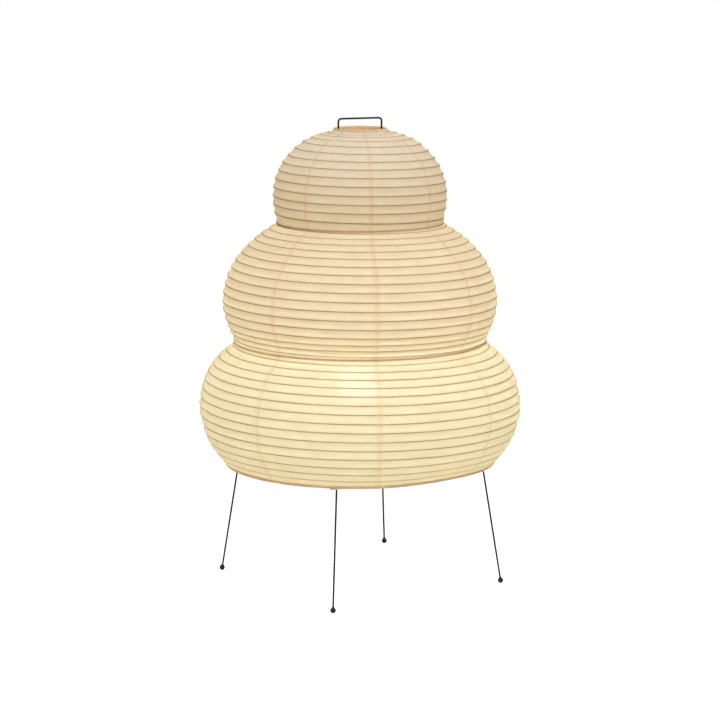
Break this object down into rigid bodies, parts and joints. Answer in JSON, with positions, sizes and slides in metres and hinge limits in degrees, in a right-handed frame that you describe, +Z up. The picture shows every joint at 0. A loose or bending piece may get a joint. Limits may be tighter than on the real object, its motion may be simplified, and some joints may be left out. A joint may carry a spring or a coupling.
{
  "type": "paper lantern floor lamp",
  "caption": "Floor lamp with a tiered concertina paper shade hung on a bent wire frame with splayed legs, a top handle, a lampholder and a screw-in bulb.",
  "frame": {"origin": "on the floor, on the lamp's vertical axis, under the middle of the shade", "axes": "+Z up along the lamp's axis; -Y is the front, the side the picture was taken from; +X to the right of the front"},
  "size_m": [0.52, 0.52, 0.7505],
  "materials": {
    "shade_paper": "translucent mulberry paper, matt",
    "binding_paper": "folded paper strip, matt",
    "split_bamboo": "thin split bamboo, raw",
    "neck_hoop": "bamboo hoop, stained",
    "rim_wire": "drawn wire",
    "black_wire": "satin black enamel",
    "foot_plastic": "moulded black, satin",
    "hub_black": "satin black enamel",
    "zinc_steel": "zinc plated",
    "holder_black": "moulded, fine grain",
    "contact_brass": "rolled sheet",
    "contact_ceramic": "unglazed",
    "bushing_black": "moulded",
    "bulb_globe": "opal",
    "bulb_collar": "moulded white",
    "bulb_cap": "nickelled",
    "bulb_glass_black": "black glass",
    "led_board_white": "white solder mask",
    "led_chip": "phosphor"
  },
  "bodies": {
    "frame": {"leg_1": "black_wire", "leg_2": "black_wire", "leg_3": "black_wire", "leg_4": "black_wire", "foot_1": "foot_plastic", "foot_2": "foot_plastic", "foot_3": "foot_plastic", "foot_4": "foot_plastic", "hub": "hub_black", "set_screws": "zinc_steel", "threaded_nipple": "zinc_steel", "lock_nut": "zinc_steel", "cord_bushing": "bushing_black", "holder_base": "holder_black", "holder_body": "holder_black", "terminal_screws": "contact_brass", "contact_block": "contact_ceramic", "centre_contact": "contact_brass", "side_contact": "contact_brass", "thread_shell": "contact_brass", "holder_ring_nut": "holder_black", "stretcher": "black_wire"},
    "shade": {"paper_panel_1": "shade_paper", "paper_panel_2": "shade_paper", "paper_panel_3": "shade_paper", "paper_panel_4": "shade_paper", "paper_panel_5": "shade_paper", "paper_panel_6": "shade_paper", "paper_panel_7": "shade_paper", "paper_panel_8": "shade_paper", "spiral_rib_upper": "split_bamboo", "spiral_rib_middle": "split_bamboo", "spiral_rib_lower": "split_bamboo", "top_rim_ring": "rim_wire", "top_rim_binding": "binding_paper"},
    "neck_ring_upper": {"neck_ring_upper": "neck_hoop"},
    "neck_ring_lower": {"neck_ring_lower": "neck_hoop"},
    "bottom_rim": {"bottom_rim_ring": "rim_wire", "bottom_rim_binding": "binding_paper"},
    "bulb_tip": {"bulb_tip": "contact_brass"},
    "bulb": {"bulb_insulator": "bulb_glass_black", "bulb_screw_cap": "bulb_cap", "bulb_collar": "bulb_collar", "bulb_globe": "bulb_globe", "led_board": "led_board_white", "led_chips": "led_chip"}
  },
  "joints": [
    {"name": "shade_lift", "type": "slide", "parent": "frame", "child": "shade", "axis": [0, 0, 1], "range_m": [0, 0.565]},
    {"name": "shade_fold", "type": "slide", "parent": "shade", "child": "bottom_rim", "axis": [0, 0, 1], "range_m": [0, 0.4519], "deforming": ["paper_panel_1", "paper_panel_2", "paper_panel_3", "paper_panel_4", "paper_panel_5", "paper_panel_6", "paper_panel_7", "paper_panel_8", "spiral_rib_upper", "spiral_rib_middle", "spiral_rib_lower"]},
    {"name": "neck_lower_fold", "type": "slide", "parent": "shade", "child": "neck_ring_lower", "axis": [0, 0, 1], "range_m": [0, 0.2879]},
    {"name": "neck_upper_fold", "type": "slide", "parent": "shade", "child": "neck_ring_upper", "axis": [0, 0, 1], "range_m": [0, 0.126]},
    {"name": "bulb_turn", "type": "hinge", "parent": "bulb_tip", "child": "bulb", "pos_m": [0, 0, 0.26], "axis": [0, 0, 1], "range_deg": [0, 1800]},
    {"name": "bulb_rise", "type": "slide", "parent": "frame", "child": "bulb_tip", "axis": [0, 0, 1], "range_m": [0, 0.01814]}
  ],
  "couplings": [
    {"joint": "neck_lower_fold", "follows": "shade_fold", "ratio": 0.63607},
    {"joint": "neck_upper_fold", "follows": "shade_fold", "ratio": 0.27779},
    {"joint": "bulb_turn", "follows": "bulb_rise", "rad_per_m": 1731.4}
  ]
}
